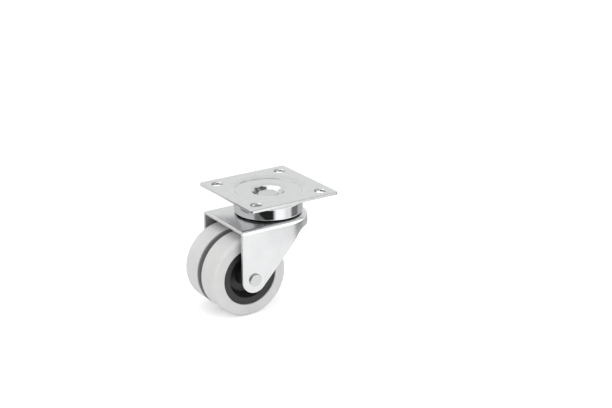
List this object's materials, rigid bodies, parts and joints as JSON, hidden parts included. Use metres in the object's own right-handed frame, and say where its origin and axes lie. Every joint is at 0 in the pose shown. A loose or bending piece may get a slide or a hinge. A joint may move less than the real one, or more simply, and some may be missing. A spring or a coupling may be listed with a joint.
{
  "type": "twin-wheel swivel plate castor",
  "caption": "Swivel furniture castor with a square screw plate, ball bearing swivel head, folded steel fork and twin grey-tyred wheels on one axle.",
  "frame": {"origin": "centre of the plate's mounting face, on the swivel axis", "axes": "+Z out of the mounting face along the swivel axis, the wheels trail towards -X, the axle lies along Y"},
  "size_m": [0.0795, 0.061, 0.072],
  "materials": {
    "zinc_plate": "bright zinc plated pressed steel",
    "zinc_fork": "bright zinc plated folded sheet steel",
    "polished_cup": "bright drawn and plated steel",
    "ball_steel": "hardened steel",
    "grey_tyre": "matt light grey thermoplastic rubber",
    "black_rim": "black moulded plastic, satin face and glossy recess"
  },
  "bodies": {
    "mount": {"top_plate": "zinc_plate", "bearing_cup": "polished_cup", "king_pin": "zinc_plate", "lower_race": "ball_steel"},
    "fork": {"fork": "zinc_fork", "axle_rivet": "zinc_fork", "axle_sleeve": "ball_steel"},
    "left_wheel": {"left_tyre": "grey_tyre", "left_rim": "black_rim"},
    "right_wheel": {"right_tyre": "grey_tyre", "right_rim": "black_rim"},
    "upper_balls": {"upper_ball_1": "ball_steel", "upper_ball_2": "ball_steel", "upper_ball_3": "ball_steel", "upper_ball_4": "ball_steel", "upper_ball_5": "ball_steel", "upper_ball_6": "ball_steel", "upper_ball_7": "ball_steel", "upper_ball_8": "ball_steel", "upper_ball_9": "ball_steel", "upper_ball_10": "ball_steel", "upper_ball_11": "ball_steel", "upper_ball_12": "ball_steel", "upper_ball_13": "ball_steel", "upper_ball_14": "ball_steel", "upper_ball_15": "ball_steel", "upper_ball_16": "ball_steel", "upper_ball_17": "ball_steel", "upper_ball_18": "ball_steel", "upper_ball_19": "ball_steel", "upper_ball_20": "ball_steel"},
    "lower_balls": {"lower_ball_1": "ball_steel", "lower_ball_2": "ball_steel", "lower_ball_3": "ball_steel", "lower_ball_4": "ball_steel", "lower_ball_5": "ball_steel", "lower_ball_6": "ball_steel", "lower_ball_7": "ball_steel", "lower_ball_8": "ball_steel", "lower_ball_9": "ball_steel", "lower_ball_10": "ball_steel", "lower_ball_11": "ball_steel", "lower_ball_12": "ball_steel", "lower_ball_13": "ball_steel", "lower_ball_14": "ball_steel", "lower_ball_15": "ball_steel"}
  },
  "joints": [
    {"name": "fork_swivel", "type": "hinge", "parent": "mount", "child": "fork", "pos_m": [0, 0, 0], "axis": [0, 0, 1], "continuous": true},
    {"name": "left_wheel_roll", "type": "hinge", "parent": "fork", "child": "left_wheel", "pos_m": [-0.024, 0.00975, -0.047], "axis": [0, 1, 0], "continuous": true},
    {"name": "right_wheel_roll", "type": "hinge", "parent": "fork", "child": "right_wheel", "pos_m": [-0.024, -0.00975, -0.047], "axis": [0, 1, 0], "continuous": true},
    {"name": "upper_ball_orbit", "type": "hinge", "parent": "mount", "child": "upper_balls", "pos_m": [0, 0, -0.0079], "axis": [0, 0, 1], "continuous": true},
    {"name": "lower_ball_orbit", "type": "hinge", "parent": "mount", "child": "lower_balls", "pos_m": [0, 0, -0.0124], "axis": [0, 0, 1], "continuous": true}
  ],
  "couplings": [
    {"joint": "upper_ball_orbit", "follows": "fork_swivel", "ratio": 0.447},
    {"joint": "lower_ball_orbit", "follows": "fork_swivel", "ratio": 0.571}
  ]
}
